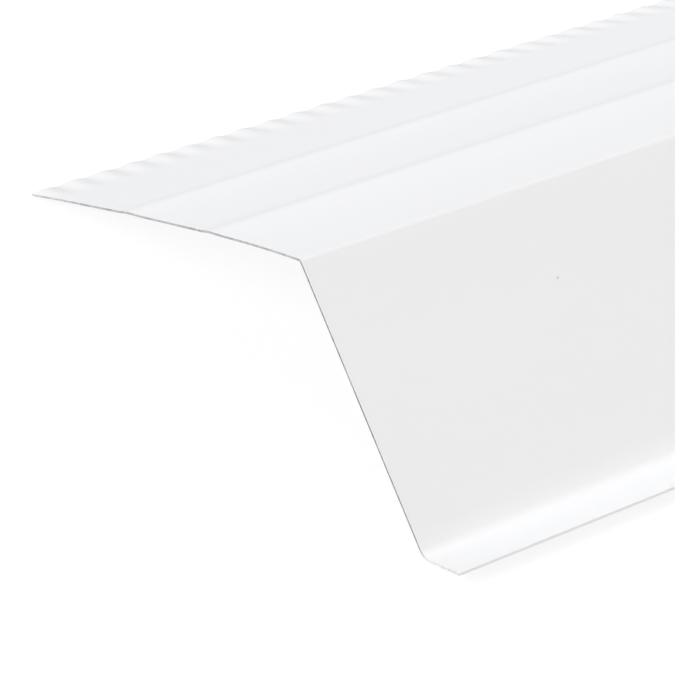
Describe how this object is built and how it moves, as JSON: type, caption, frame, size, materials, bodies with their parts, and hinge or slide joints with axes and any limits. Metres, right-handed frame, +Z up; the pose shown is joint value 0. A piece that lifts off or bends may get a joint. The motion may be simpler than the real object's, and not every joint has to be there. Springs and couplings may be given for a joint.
{
  "type": "drip edge flashing",
  "caption": "Long bent white sheet: crimped roof flange with pressed beads, tight nose bend, slanting face and kicked out lip that sheds water.",
  "frame": {"origin": "the floor, under the middle of the piece's box, as it lies unheld on its back edge and its lip bend", "axes": "+X along the length, +Y from the hanging face to the crimped back edge of the roof flange, +Z up from the floor"},
  "size_m": [3.048, 0.1408, 0.0355],
  "materials": {
    "painted_sheet": "satin"
  },
  "bodies": {
    "root": {"drip_edge": "painted_sheet"}
  },
  "joints": []
}
